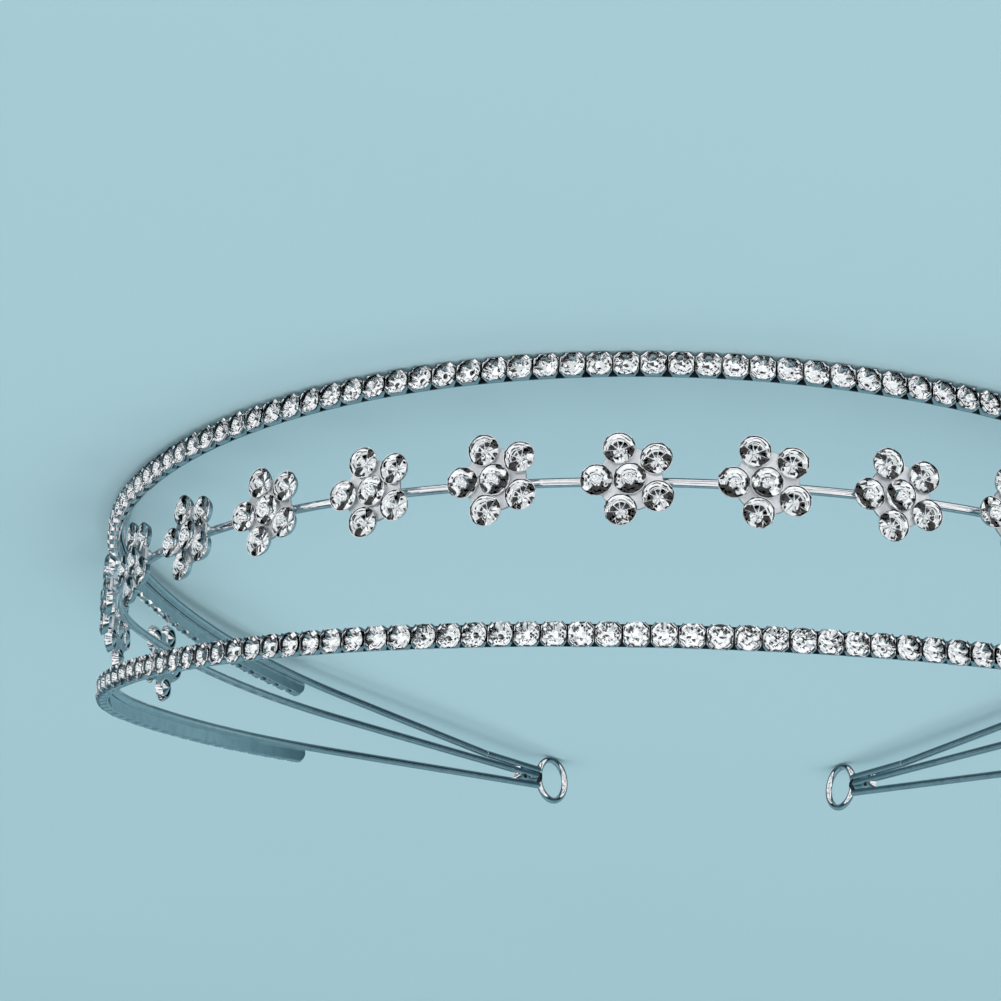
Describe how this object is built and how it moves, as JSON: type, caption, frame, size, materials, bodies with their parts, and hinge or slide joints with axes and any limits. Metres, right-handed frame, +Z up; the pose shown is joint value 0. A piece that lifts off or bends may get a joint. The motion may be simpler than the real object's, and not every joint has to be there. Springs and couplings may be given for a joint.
{
  "type": "crystal headband",
  "caption": "Open rigid headband of three wires that meet in a loop at each end, with two rows of set stones and a row of stone flowers between them.",
  "frame": {"origin": "on the surface that the headband lies on, below the middle of its whole box", "axes": "+Z up from the surface; -Y towards the front of the headband; +Y towards its open back with the end loops; +X to the right when it is seen from its front"},
  "size_m": [0.1388, 0.1562, 0.0318],
  "materials": {
    "row_silver": "polished silver plate",
    "wire_silver": "polished silver plate",
    "setting_silver": "polished silver plate",
    "crystal": "clear cut crystal with a foiled back"
  },
  "bodies": {
    "root": {"lower_row": "row_silver", "upper_row": "row_silver", "middle_wire": "wire_silver", "right_end_loop": "wire_silver", "left_end_loop": "wire_silver", "flower_setting_01": "setting_silver", "flower_setting_02": "setting_silver", "flower_setting_03": "setting_silver", "flower_setting_04": "setting_silver", "flower_setting_05": "setting_silver", "flower_setting_06": "setting_silver", "flower_setting_07": "setting_silver", "flower_setting_08": "setting_silver", "flower_setting_09": "setting_silver", "flower_setting_10": "setting_silver", "flower_setting_11": "setting_silver", "flower_setting_12": "setting_silver", "flower_setting_13": "setting_silver", "flower_setting_14": "setting_silver", "flower_setting_15": "setting_silver", "flower_setting_16": "setting_silver", "flower_setting_17": "setting_silver", "flower_stones_01": "crystal", "flower_stones_02": "crystal", "flower_stones_03": "crystal", "flower_stones_04": "crystal", "flower_stones_05": "crystal", "flower_stones_06": "crystal", "flower_stones_07": "crystal", "flower_stones_08": "crystal", "flower_stones_09": "crystal", "flower_stones_10": "crystal", "flower_stones_11": "crystal", "flower_stones_12": "crystal", "flower_stones_13": "crystal", "flower_stones_14": "crystal", "flower_stones_15": "crystal", "flower_stones_16": "crystal", "flower_stones_17": "crystal"}
  },
  "joints": []
}
